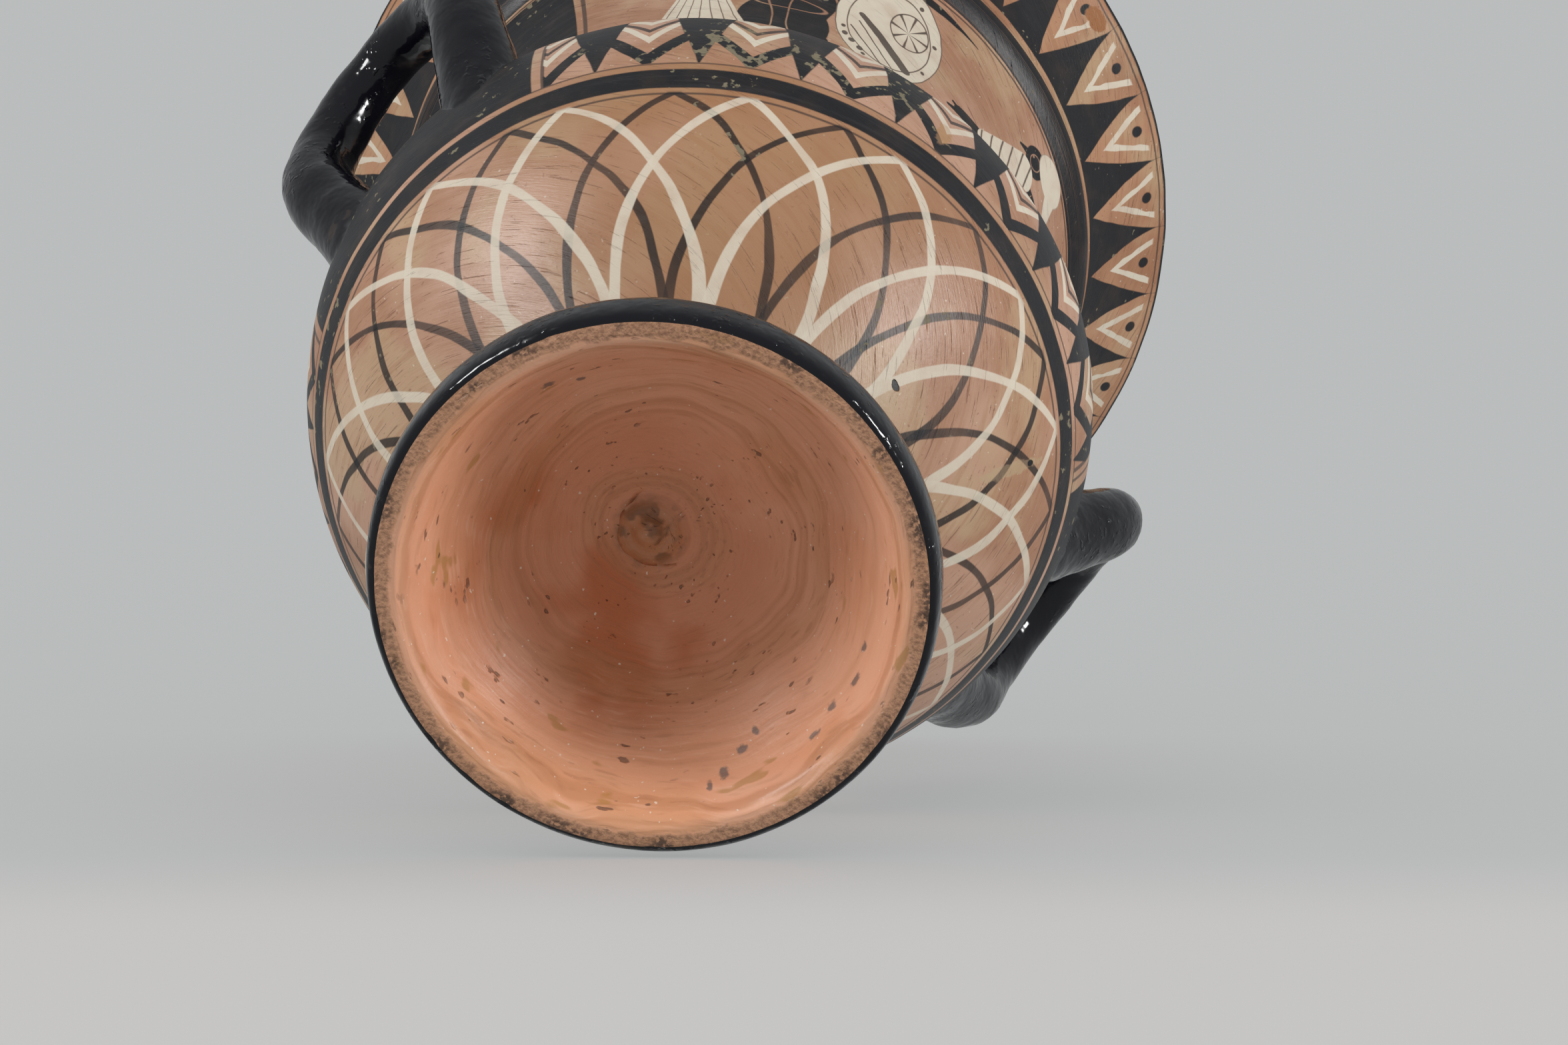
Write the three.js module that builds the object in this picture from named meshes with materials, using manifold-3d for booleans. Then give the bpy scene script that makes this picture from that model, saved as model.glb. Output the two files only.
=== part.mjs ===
// A two-handled terracotta krater, standing on its foot. Millimetres, +Z up, origin under the middle of the foot.
// The vase is one fired piece: foot, bowl, wall, lip and both loop handles.
import * as THREE from 'three';
import { mergeVertices } from 'three/addons/utils/BufferGeometryUtils.js';
import Module from 'manifold-3d';

const wallThickness = 8;

// Foot: a round-edged ring over a deep hollow, drawn in to a short stem.
const restRadius = 94;
const restWidth = 9;
const footRadius = 98;
const footEdgeHeight = 19.5;
const footEdgeRounding = 5;
const hollowDepth = 70;
const hubRadius = 13;
const hubDrop = 3;
const nippleRadius = 5;
const nippleDrop = 6;
const stemRadius = 50;
const stemHeight = 64;

// Bowl: swells from the stem to its widest place and turns over sharply to the shoulder.
const bowlRadius = 150;
const bowlHeight = 210.6;
const bowlFloor = 12;
const stemFillet = 20;
const shoulderRise = 25;

// Wall: stands on the shoulder, narrows a little to a waist and flares to a rounded ring under the lip.
const wallFootRadius = 116;
const wallWaistRadius = 113;
const wallWaistHeight = 290;
const wallTopRadius = 141;
const wallTopHeight = 432;
const ringRadius = 149;
const ringHeight = 17.7;
const ringBulge = 4;

// Lip: a flaring band with a rounded rim.
const lipRadius = 184.6;
const lipHeight = 46.7;
const rimRounding = 2;

// Handles: each loop leaves the shoulder on two thick arms, leans outward and arches up in front of the wall.
const handleAzimuths = [90, 266];
const rootSpread = 36;
const elbowSpread = 45;
const rootInset = 12;
const rootRise = 6;
const elbowReach = 12;
const elbowRise = 47;
const barReach = 21.5;
const barRise = 96;
const rootThickness = 35;
const elbowThickness = 29;
const barThickness = 23.4;

const aroundSteps = 56;
const handleSides = 12;
const handleSteps = 24;

const point = (radius, height) => new THREE.Vector2(radius, height);

// Points of an elliptical arc about a centre; angles in degrees, 0 pointing outward and 90 up.
function arc(centre, reach, rise, from, to, steps) {
  const points = [];
  for (let i = 0; i <= steps; i++) {
    const angle = THREE.MathUtils.degToRad(from + (to - from) * i / steps);
    points.push(point(centre.x + reach * Math.cos(angle), centre.y + rise * Math.sin(angle)));
  }
  return points;
}

// The same curve moved to its left by a distance, seen along its direction.
function offset(curve, distance, steps) {
  const points = [];
  for (let i = 0; i <= steps; i++) {
    const at = curve.getPoint(i / steps);
    const along = curve.getTangent(i / steps);
    points.push(point(at.x - along.y * distance, at.y + along.x * distance));
  }
  return points;
}

// The curves that both faces of the wall follow, from the stem up.
const shoulderTop = bowlHeight + shoulderRise;
const wallRingHeight = wallTopHeight + ringHeight;
const mouthHeight = wallRingHeight + lipHeight;
const bowlStart = point(stemRadius + stemFillet * 0.6, stemHeight + stemFillet);
const bowlWidth = bowlRadius - bowlStart.x;
const bowlDepth = bowlHeight - bowlStart.y;
const bowlCurve = new THREE.CubicBezierCurve(
  bowlStart,
  point(bowlStart.x + bowlWidth * 0.44, bowlStart.y + bowlDepth * 0.24),
  point(bowlRadius, bowlHeight - bowlDepth * 0.485),
  point(bowlRadius, bowlHeight),
);
const lowerWall = new THREE.QuadraticBezierCurve(
  point(wallFootRadius, shoulderTop),
  point(wallWaistRadius, (shoulderTop + wallWaistHeight) / 2),
  point(wallWaistRadius, wallWaistHeight),
);
const upperWall = new THREE.QuadraticBezierCurve(
  point(wallWaistRadius, wallWaistHeight),
  point(wallWaistRadius, wallWaistHeight + (wallTopHeight - wallWaistHeight) * 0.6),
  point(wallTopRadius, wallTopHeight),
);
const lipCurve = new THREE.QuadraticBezierCurve(
  point(ringRadius, wallRingHeight),
  point(ringRadius + (lipRadius - ringRadius) * 0.4, wallRingHeight + lipHeight * 0.54),
  point(lipRadius, mouthHeight),
);

// Outside, from the resting ring up to the rim.
function outerOutline() {
  const edgeTop = footEdgeHeight - footEdgeRounding;
  const footEdge = new THREE.QuadraticBezierCurve(
    point(restRadius, 0),
    point(footRadius, 0),
    point(footRadius, edgeTop),
  );
  const roundOver = arc(point(footRadius - footEdgeRounding, edgeTop), footEdgeRounding, footEdgeRounding, 0, 75, 3);
  const stem = new THREE.CubicBezierCurve(
    roundOver.at(-1),
    point(stemRadius + (footRadius - stemRadius) * 0.5, footEdgeHeight + (stemHeight - footEdgeHeight) * 0.2),
    point(stemRadius, stemHeight - (stemHeight - footEdgeHeight) * 0.45),
    point(stemRadius, stemHeight),
  );
  const underBowl = new THREE.QuadraticBezierCurve(
    point(stemRadius, stemHeight),
    point(stemRadius, stemHeight + stemFillet * 0.5),
    bowlStart,
  );
  const ring = new THREE.QuadraticBezierCurve(
    point(wallTopRadius, wallTopHeight),
    point((wallTopRadius + ringRadius) / 2 + 2 * ringBulge, wallTopHeight + ringHeight * 0.4),
    point(ringRadius, wallRingHeight),
  );
  return [
    ...footEdge.getPoints(3),
    ...roundOver.slice(1),
    ...stem.getPoints(4).slice(1),
    ...underBowl.getPoints(2).slice(1),
    ...bowlCurve.getPoints(8).slice(1),
    ...arc(point(wallFootRadius, bowlHeight), bowlRadius - wallFootRadius, shoulderRise, 0, 90, 5).slice(1),
    ...lowerWall.getPoints(2).slice(1),
    ...upperWall.getPoints(5).slice(1),
    ...ring.getPoints(4).slice(1),
    ...lipCurve.getPoints(4).slice(1),
  ];
}

// Inside, from the rim down to the middle of the floor: one wall's thickness in from the outside.
function innerOutline() {
  const lip = offset(lipCurve, wallThickness, 3);
  const bowl = offset(bowlCurve, wallThickness, 6);
  const reach = bowlRadius - wallFootRadius - wallThickness;
  const shoulder = arc(point(wallFootRadius, bowlHeight), reach, shoulderRise - wallThickness, 90, 0, 3);
  const floorHeight = hollowDepth + bowlFloor;
  const floor = new THREE.QuadraticBezierCurve(
    bowl[0],
    point(bowl[0].x * 0.6, floorHeight),
    point(0, floorHeight),
  );
  const rimEdge = lip.at(-1);
  const along = lipCurve.getTangent(1).multiplyScalar(2 * rimRounding);
  const rim = new THREE.QuadraticBezierCurve(
    point(lipRadius, mouthHeight),
    point((lipRadius + rimEdge.x) / 2, (mouthHeight + rimEdge.y) / 2).add(along),
    rimEdge,
  );
  return [
    ...rim.getPoints(3).slice(1),
    ...lip.reverse().slice(1),
    ...offset(upperWall, wallThickness, 4).reverse(),
    point(wallFootRadius - wallThickness, shoulderTop),
    ...arc(point(wallFootRadius, shoulderTop), wallThickness, wallThickness, 180, 270, 2).slice(1),
    ...shoulder.slice(1),
    ...bowl.reverse().slice(1),
    ...floor.getPoints(3).slice(1),
  ];
}

// Underside, from the middle of the hollow out to the resting ring.
function hollowOutline() {
  const innerRest = restRadius - restWidth;
  const dome = new THREE.CubicBezierCurve(
    point(hubRadius, hollowDepth),
    point(innerRest * 0.48, hollowDepth * 0.93),
    point(innerRest * 0.9, hollowDepth * 0.42),
    point(innerRest, 0),
  );
  return [
    point(0, hollowDepth - nippleDrop),
    point(nippleRadius * 0.6, hollowDepth - nippleDrop * 0.85),
    point(nippleRadius, hollowDepth - hubDrop * 0.5),
    point((nippleRadius + hubRadius) / 2, hollowDepth - hubDrop),
    ...dome.getPoints(6),
  ];
}

// A closed tube of changing thickness round a curve.
function taperedTube(curve, thicknessAt, steps, sides) {
  const frames = curve.computeFrenetFrames(steps, false);
  const positions = [];
  const indices = [];
  for (let i = 0; i <= steps; i++) {
    const centre = curve.getPointAt(i / steps);
    const radius = thicknessAt(i / steps) / 2;
    for (let j = 0; j < sides; j++) {
      const angle = 2 * Math.PI * j / sides;
      const corner = centre.clone()
        .addScaledVector(frames.normals[i], radius * Math.cos(angle))
        .addScaledVector(frames.binormals[i], radius * Math.sin(angle));
      positions.push(corner.x, corner.y, corner.z);
    }
  }
  for (let i = 0; i < steps; i++) {
    for (let j = 0; j < sides; j++) {
      const here = i * sides + j;
      const beside = i * sides + (j + 1) % sides;
      indices.push(here, beside, here + sides, beside, beside + sides, here + sides);
    }
  }
  const last = steps * sides;
  for (let j = 1; j < sides - 1; j++) {
    indices.push(0, j + 1, j, last, last + j, last + j + 1);
  }
  const geometry = new THREE.BufferGeometry();
  geometry.setAttribute('position', new THREE.Float32BufferAttribute(positions, 3));
  geometry.setIndex(indices);
  return geometry;
}

// One loop in its own place on the +X side: a leaning arm on each side, joined by an arch.
function handleGeometry() {
  const root = new THREE.Vector3(bowlRadius - rootInset, rootSpread, bowlHeight + rootRise);
  const arch = [0, 30, 60, 90].map((angle) => {
    const turn = THREE.MathUtils.degToRad(angle);
    return new THREE.Vector3(
      bowlRadius + THREE.MathUtils.lerp(elbowReach, barReach, Math.sin(turn)),
      elbowSpread * Math.cos(turn),
      bowlHeight + THREE.MathUtils.lerp(elbowRise, barRise, Math.sin(turn)),
    );
  });
  const buried = root.clone().lerp(arch[0], -0.4);
  const half = [buried, root, ...arch];
  const mirrored = half.slice(0, -1).map((p) => new THREE.Vector3(p.x, -p.y, p.z)).reverse();
  const loop = new THREE.CatmullRomCurve3([...half, ...mirrored], false, 'centripetal');
  const thicknessAt = (share) => {
    const fromMiddle = Math.abs(2 * share - 1);
    if (fromMiddle < 0.55) {
      return THREE.MathUtils.lerp(barThickness, elbowThickness, (fromMiddle / 0.55) ** 2);
    }
    return THREE.MathUtils.lerp(elbowThickness, rootThickness, (fromMiddle - 0.55) / 0.45);
  };
  return taperedTube(loop, thicknessAt, handleSteps, handleSides);
}

// A turned shape whose outline runs from the axis back to the axis, with +Z up.
function turned(outline) {
  return new THREE.LatheGeometry(outline, aroundSteps).rotateX(Math.PI / 2);
}

const wasm = await Module();
wasm.setup();

function toSolid(geometry) {
  const bare = geometry.clone();
  bare.deleteAttribute('normal');
  bare.deleteAttribute('uv');
  const merged = mergeVertices(bare, 1e-4);
  return new wasm.Manifold(new wasm.Mesh({
    numProp: 3,
    vertProperties: new Float32Array(merged.attributes.position.array),
    triVerts: new Uint32Array(merged.index.array),
  }));
}

function toGeometry(solid) {
  const mesh = solid.getMesh();
  const geometry = new THREE.BufferGeometry();
  geometry.setAttribute('position', new THREE.BufferAttribute(mesh.vertProperties, 3));
  geometry.setIndex(new THREE.BufferAttribute(mesh.triVerts, 1));
  geometry.computeVertexNormals();
  return geometry;
}

// The handles end inside the wall, cut off along its middle, so that nothing of them shows within the vase.
function kraterSolid() {
  const outer = outerOutline();
  const body = toSolid(turned([...hollowOutline(), ...outer, ...innerOutline()]));
  const midWall = outer.filter((p) => p.y > stemHeight && p.y < wallTopHeight)
    .map((p) => point(p.x - wallThickness / 2, p.y));
  const core = toSolid(turned([point(0, midWall[0].y), ...midWall, point(0, midWall.at(-1).y)]));
  let krater = body;
  for (const azimuth of handleAzimuths) {
    const loop = handleGeometry().rotateZ(THREE.MathUtils.degToRad(azimuth));
    krater = krater.add(toSolid(loop).subtract(core));
  }
  return krater;
}

const terracotta = new THREE.MeshStandardMaterial({ color: 0xbe8c6e, roughness: 0.6, metalness: 0 });
const krater = new THREE.Mesh(toGeometry(kraterSolid()), terracotta);
krater.name = 'krater';

const group = new THREE.Group();
group.add(krater);
export default group;
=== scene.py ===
"""A two-handled terracotta krater, painted black, cream and brown, seen from under its foot."""

import math

import bmesh
import bpy
import numpy as np
from mathutils import Matrix, Vector, noise


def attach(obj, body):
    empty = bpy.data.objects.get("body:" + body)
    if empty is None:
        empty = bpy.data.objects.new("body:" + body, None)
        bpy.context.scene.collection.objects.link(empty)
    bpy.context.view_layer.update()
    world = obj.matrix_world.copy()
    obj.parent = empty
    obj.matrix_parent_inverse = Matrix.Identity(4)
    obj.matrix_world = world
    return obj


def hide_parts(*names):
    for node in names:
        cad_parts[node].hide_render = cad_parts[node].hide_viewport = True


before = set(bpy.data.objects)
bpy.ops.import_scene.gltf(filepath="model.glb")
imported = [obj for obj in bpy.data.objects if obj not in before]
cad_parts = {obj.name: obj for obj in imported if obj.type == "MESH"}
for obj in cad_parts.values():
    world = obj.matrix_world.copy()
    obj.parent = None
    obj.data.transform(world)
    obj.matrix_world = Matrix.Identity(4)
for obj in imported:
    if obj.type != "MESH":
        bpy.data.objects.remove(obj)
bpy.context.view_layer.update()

# The body: foot, stem, bowl, shoulder, wall, ring and lip. It is coarse red earthenware, thrown on the wheel in
# one hollow shape with an 8 mm wall, turned, burnished and fired.
MM = 0.001
WALL = 8
REST_RADIUS, REST_WIDTH, REST_EASE = 94, 9, 4
FOOT_RADIUS, FOOT_EDGE, FOOT_ROUNDING = 98, 19.5, 5
HOLLOW = 70
STEM_RADIUS, STEM_TOP, STEM_FILLET = 50, 64, 20
BOWL_RADIUS, BOWL_TOP, BOWL_FLOOR = 150, 210.6, 12
SHOULDER_RISE, WALL_FOOT = 25, 116
WAIST_RADIUS, WAIST = 113, 290
WALL_TOP_RADIUS, WALL_TOP = 141, 432
RING_RADIUS, RING_TOP, RING_BULGE = 149, 449.7, 4
LIP_RADIUS, LIP_TOP = 184.6, 496.4
AROUND = 264
UNDERSIDE, GLAZED_FOOT, BELLY, BAND, FRIEZE, MOUTH, INSIDE = range(7)
BAND_FOOT = 170


def bow(corners, gap):
    """Points a gap apart along the smooth curve that leans on these corners."""
    share = np.linspace(0, 1, 160)[:, None]
    pulls = [np.array(corner, float) + 0 * share for corner in corners]
    while len(pulls) > 1:
        pulls = [a * (1 - share) + b * share for a, b in zip(pulls, pulls[1:])]
    return evenly(pulls[0], gap)


def arch(centre, reach, rise, start, end, gap):
    """Points a gap apart along part of an upright oval, between two angles in degrees."""
    turn = np.radians(np.linspace(start, end, 90))
    return evenly(np.stack([centre[0] + reach * np.cos(turn), centre[1] + rise * np.sin(turn)], 1), gap)


def evenly(line, gap):
    """The same line with its points a gap apart."""
    run = np.concatenate([[0], np.cumsum(np.linalg.norm(np.diff(line, axis=0), axis=1))])
    marks = np.linspace(0, run[-1], max(2, round(run[-1] / gap) + 1))
    return np.stack([np.interp(marks, run, line[:, k]) for k in range(line.shape[1])], 1)


def inward(line, distance):
    """The same line moved to its left, seen along its direction."""
    along = np.gradient(line, axis=0)
    along /= np.linalg.norm(along, axis=1)[:, None]
    return line + distance * np.stack([-along[:, 1], along[:, 0]], 1)


bowl_start = (STEM_RADIUS + STEM_FILLET * 0.6, STEM_TOP + STEM_FILLET)
bowl_width, bowl_depth = BOWL_RADIUS - bowl_start[0], BOWL_TOP - bowl_start[1]
bowl_corners = [
    bowl_start,
    (bowl_start[0] + bowl_width * 0.44, bowl_start[1] + bowl_depth * 0.24),
    (BOWL_RADIUS, BOWL_TOP - bowl_depth * 0.485),
    (BOWL_RADIUS, BOWL_TOP),
]
shoulder_top = BOWL_TOP + SHOULDER_RISE
lower_wall = [(WALL_FOOT, shoulder_top), (WAIST_RADIUS, (shoulder_top + WAIST) / 2), (WAIST_RADIUS, WAIST)]
upper_wall = [
    (WAIST_RADIUS, WAIST),
    (WAIST_RADIUS, WAIST + (WALL_TOP - WAIST) * 0.6),
    (WALL_TOP_RADIUS, WALL_TOP),
]
ring_corners = [
    (WALL_TOP_RADIUS, WALL_TOP),
    ((WALL_TOP_RADIUS + RING_RADIUS) / 2 + 2 * RING_BULGE, WALL_TOP + (RING_TOP - WALL_TOP) * 0.4),
    (RING_RADIUS, RING_TOP),
]
lip_corners = [
    (RING_RADIUS, RING_TOP),
    (RING_RADIUS + (LIP_RADIUS - RING_RADIUS) * 0.4, RING_TOP + (LIP_TOP - RING_TOP) * 0.54),
    (LIP_RADIUS, LIP_TOP),
]


def whole_outline():
    """The turned outline from the middle of the underside round to the middle of the floor, with each part's zone."""
    inner_rest = REST_RADIUS - REST_WIDTH
    edge_top = FOOT_EDGE - FOOT_ROUNDING
    round_over = arch((FOOT_RADIUS - FOOT_ROUNDING, edge_top), FOOT_ROUNDING, FOOT_ROUNDING, 0, 75, 1.5)
    stem = [
        tuple(round_over[-1]),
        (STEM_RADIUS + (FOOT_RADIUS - STEM_RADIUS) * 0.5, FOOT_EDGE + (STEM_TOP - FOOT_EDGE) * 0.2),
        (STEM_RADIUS, STEM_TOP - (STEM_TOP - FOOT_EDGE) * 0.45),
        (STEM_RADIUS, STEM_TOP),
    ]
    dome = [
        (13, HOLLOW),
        (inner_rest * 0.48, HOLLOW * 0.93),
        (inner_rest * 0.9, HOLLOW * 0.42),
        (inner_rest - REST_EASE * 0.3, REST_EASE),
    ]
    eased = bow([dome[-1], (inner_rest, REST_EASE * 0.2), (inner_rest + REST_EASE, 0)], 0.9)
    inner_lip = inward(bow(lip_corners, 6), WALL)
    rim_lean = np.array(lip_corners[2]) - np.array(lip_corners[1])
    rim_over = (np.array(lip_corners[2]) + inner_lip[-1]) / 2 + 4 * rim_lean / np.linalg.norm(rim_lean)
    inner_bowl = inward(bow(bowl_corners, 7), WALL)
    floor = HOLLOW + BOWL_FLOOR
    parts = [
        (UNDERSIDE, [(0, HOLLOW - 6), (1.5, HOLLOW - 5.9), (3, HOLLOW - 5.3), (4.5, HOLLOW - 4.2)]),
        (UNDERSIDE, [(6, HOLLOW - 3.3), (7.5, HOLLOW - 3), (9, HOLLOW - 2.9), (11, HOLLOW - 2.2)]),
        (UNDERSIDE, bow(dome, 1.9)),
        (UNDERSIDE, eased),
        (UNDERSIDE, [(inner_rest + REST_EASE + (REST_WIDTH - REST_EASE) * k / 4, 0) for k in range(1, 5)]),
        (GLAZED_FOOT, bow([(REST_RADIUS, 0), (FOOT_RADIUS, 0), (FOOT_RADIUS, edge_top)], 1.8)),
        (GLAZED_FOOT, round_over),
        (GLAZED_FOOT, bow(stem, 3.5)),
        (GLAZED_FOOT, bow([(STEM_RADIUS, STEM_TOP), (STEM_RADIUS, STEM_TOP + STEM_FILLET / 2), bowl_start], 3)),
        (BELLY, bow(bowl_corners, 3.1)),
        (BAND, arch((WALL_FOOT, BOWL_TOP), BOWL_RADIUS - WALL_FOOT, SHOULDER_RISE, 0, 90, 2.2)),
        (FRIEZE, bow(lower_wall, 4)),
        (FRIEZE, bow(upper_wall, 4)),
        (MOUTH, bow(ring_corners, 2.2)),
        (MOUTH, bow(lip_corners, 3)),
        (MOUTH, bow([lip_corners[2], rim_over, inner_lip[-1]], 1.6)),
        (INSIDE, inner_lip[::-1]),
        (INSIDE, inward(bow(upper_wall, 8), WALL)[::-1]),
        (INSIDE, [(WALL_FOOT - WALL, shoulder_top)]),
        (INSIDE, arch((WALL_FOOT, shoulder_top), WALL, WALL, 180, 270, 3)),
        (INSIDE, arch((WALL_FOOT, BOWL_TOP), BOWL_RADIUS - WALL_FOOT - WALL, SHOULDER_RISE - WALL, 90, 0, 5)),
        (INSIDE, inner_bowl[::-1]),
        (INSIDE, bow([inner_bowl[0], (inner_bowl[0][0] * 0.6, floor), (0, floor)], 6)),
    ]
    outline = []
    for zone, line in parts:
        for radius, height in line:
            if outline and math.dist(outline[-1][:2], (radius, height)) < 0.3:
                continue
            outline.append((float(radius), float(height), zone))
    return [
        (radius, height, BAND if zone == BELLY and height > BAND_FOOT + 1.6 else zone)
        for radius, height, zone in outline
    ]


def spin(mesh, chain, steps):
    """Turns a chain of corners once round the vase's axis."""
    links = [mesh.edges.new(pair) for pair in zip(chain, chain[1:])]
    bmesh.ops.spin(
        mesh, geom=chain + links, axis=(0, 0, 1), cent=(0, 0, 0), angle=2 * math.pi, steps=steps, use_merge=True
    )
    bmesh.ops.remove_doubles(mesh, verts=mesh.verts, dist=0.00001)


outline = whole_outline()
pot = bmesh.new()
order = pot.verts.layers.int.new("order")
path = []
for place, (radius, height, zone) in enumerate(outline):
    corner = pot.verts.new((radius * MM, 0, height * MM))
    corner[order] = place
    path.append(corner)
spin(pot, path, AROUND)
for face in pot.faces:
    face.material_index = outline[max(corner[order] for corner in face.verts)][2]
    face.smooth = True
bmesh.ops.recalc_face_normals(pot, faces=pot.faces)


def thrown(point):
    """How far the potter's hands left the clay out of true here, in millimetres along the surface's own normal."""
    radius = math.hypot(point.x, point.y) / MM
    height = point.z / MM
    hollow_side = radius < inner_wall_radius(height) - 1.5
    soft = 0.45 * noise.noise(point * 14) + 0.18 * noise.noise(point * 45)
    if hollow_side and height < HOLLOW + 1:
        swirl = radius + 2.5 * noise.noise(point * 25)
        rings = 0.35 * math.sin(swirl * 0.95) + 0.25 * math.sin(swirl * 0.41 + 1)
        hub = min(1.0, max(0.0, 1.7 - radius / 10))
        lumps = 1.9 * noise.noise(point * 120 + Vector((3, 1, 0))) + 0.9 * noise.noise(point * 300)
        return soft + rings * min(1, radius / 26) + hub * lumps
    return soft


def inner_wall_radius(height):
    """Radius of the hollow under the foot's edge at a height, for telling the underside from the outside."""
    return REST_RADIUS - 1 if height < 20 else REST_RADIUS * max(0, 1 - height / (HOLLOW + 14))


HUB_OFF_AXIS = Vector((0.0068, 0.0030, 0))
HUB_MOVED, HUB_LEFT = 17, 62
CHIPPED_EDGE = 3
pot.normal_update()
top = max(vertex.co.z for vertex in pot.verts)
for vertex in pot.verts:
    shift = thrown(vertex.co)
    radius = math.hypot(vertex.co.x, vertex.co.y) / MM
    if 0.02 < vertex.co.z < 0.071 and radius < inner_wall_radius(vertex.co.z / MM) - 1.5:
        vertex.co += HUB_OFF_AXIS * min(1.0, max(0.0, (HUB_LEFT - radius) / (HUB_LEFT - HUB_MOVED)))
    if vertex.co.z < 0.0004:
        shift = -0.35 * abs(noise.noise(vertex.co * 260)) if REST_RADIUS - REST_WIDTH + 1 < radius else 0
        if radius > REST_RADIUS - 1:
            shift -= max(0.0, noise.noise(vertex.co * 120) - 0.2) * 2.4
        vertex.co.z -= shift * MM
        continue
    if radius > LIP_RADIUS - CHIPPED_EDGE or vertex.co.z > top - 0.004:
        shift = -0.5 * abs(noise.noise(vertex.co * 60))
    vertex.co += vertex.normal * shift * MM

# The handles: two loops of rolled clay, joined to the shoulder while wet. Each leaves the shoulder on two thick
# arms, leans outward and arches up in front of the wall; the joints are smeared over with slip.
HANDLE_AZIMUTHS = (90, 266)
ROOT_SPREAD, ELBOW_SPREAD = 36, 45
ROOT_INSET, ROOT_RISE = 12, 6
ELBOW_REACH, ELBOW_RISE = 12, 47
BAR_REACH, BAR_RISE = 21.5, 96
ROOT_THICKNESS, ELBOW_THICKNESS, BAR_THICKNESS = 35, 29, 23.4
HANDLE_SIDES, HANDLE_STATIONS = 36, 84
BAR_SHARE = 0.55
CORE_AROUND = 96


def smooth_through(points, samples=24):
    """A rope line through the points: each stretch starts and ends along the line between its neighbours."""
    points = [2 * points[0] - points[1], *points, 2 * points[-1] - points[-2]]
    line = []
    for a, b, c, d in zip(points, points[1:], points[2:], points[3:]):
        ta, tb, tc = (math.sqrt(np.linalg.norm(q - p)) for p, q in ((a, b), (b, c), (c, d)))
        leave = ((b - a) / ta - (c - a) / (ta + tb) + (c - b) / tb) * tb
        arrive = ((c - b) / tb - (d - b) / (tb + tc) + (d - c) / tc) * tb
        for share in np.linspace(0, 1, samples, endpoint=False):
            s2, s3 = share**2, share**3
            line.append(
                b * (2 * s3 - 3 * s2 + 1) + leave * (s3 - 2 * s2 + share) + c * (3 * s2 - 2 * s3) + arrive * (s3 - s2)
            )
    line.append(points[-2])
    return np.array(line)


def loop_line():
    """The middle line of a handle on the +X side, from one buried end over the bar to the other."""
    root = np.array([BOWL_RADIUS - ROOT_INSET, ROOT_SPREAD, BOWL_TOP + ROOT_RISE], float)
    rise = []
    for turn in (0, 30, 60, 90):
        lift = math.sin(math.radians(turn))
        rise.append(np.array([
            BOWL_RADIUS + ELBOW_REACH + (BAR_REACH - ELBOW_REACH) * lift,
            ELBOW_SPREAD * math.cos(math.radians(turn)),
            BOWL_TOP + ELBOW_RISE + (BAR_RISE - ELBOW_RISE) * lift,
        ]))
    buried = root - 0.4 * (rise[0] - root)
    half = [buried, root, *rise]
    other = [point * (1, -1, 1) for point in half[-2::-1]]
    line = smooth_through(half + other)
    run = np.concatenate([[0], np.cumsum(np.linalg.norm(np.diff(line, axis=0), axis=1))])
    marks = np.linspace(0, run[-1], HANDLE_STATIONS)
    return np.stack([np.interp(marks, run, line[:, k]) for k in range(3)], 1)


def loop_thickness(share):
    """The handle's thickness at a share of its length: thinnest at the bar, thickest at the two roots."""
    from_middle = abs(2 * share - 1)
    if from_middle < BAR_SHARE:
        return BAR_THICKNESS + (ELBOW_THICKNESS - BAR_THICKNESS) * (from_middle / BAR_SHARE) ** 2
    return ELBOW_THICKNESS + (ROOT_THICKNESS - ELBOW_THICKNESS) * (from_middle - BAR_SHARE) / (1 - BAR_SHARE)


def handle(azimuth):
    line = loop_line()
    tangents = np.gradient(line, axis=0)
    across = np.cross([0, 1, 0], [BAR_REACH - ELBOW_REACH, 0, BAR_RISE - ELBOW_RISE])
    loop = bmesh.new()
    bmesh.ops.create_circle(loop, cap_ends=True, segments=HANDLE_SIDES, radius=1)
    loop.faces.ensure_lookup_table()
    cap = loop.faces[0]
    for station, (middle, tangent) in enumerate(zip(line, tangents)):
        if station:
            cap = bmesh.ops.extrude_discrete_faces(loop, faces=[cap])["faces"][0]
        first = across - tangent * np.dot(across, tangent) / np.dot(tangent, tangent)
        first /= np.linalg.norm(first)
        second = np.cross(tangent / np.linalg.norm(tangent), first)
        radius = loop_thickness(station / (HANDLE_STATIONS - 1)) / 2
        for k, corner in enumerate(cap.verts):
            turn = 2 * math.pi * k / HANDLE_SIDES
            spot = middle + radius * (math.cos(turn) * first + math.sin(turn) * second)
            corner.co = Vector(spot) * MM
    bmesh.ops.holes_fill(loop, edges=loop.edges, sides=0)
    bmesh.ops.recalc_face_normals(loop, faces=loop.faces)
    bmesh.ops.rotate(
        loop, verts=loop.verts, cent=(0, 0, 0), matrix=Matrix.Rotation(math.radians(azimuth), 3, "Z")
    )
    loop.normal_update()
    for vertex in loop.verts:
        lump = 0.7 * noise.noise(vertex.co * 55) + 0.35 * noise.noise(vertex.co * 150)
        vertex.co += vertex.normal * lump * MM
    for face in loop.faces:
        face.material_index = GLAZED_FOOT
        face.smooth = True
    return loop


def as_object(name, mesh_source):
    mesh = bpy.data.meshes.new(name)
    mesh_source.to_mesh(mesh)
    mesh_source.free()
    made = bpy.data.objects.new(name, mesh)
    bpy.context.scene.collection.objects.link(made)
    return made


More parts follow.
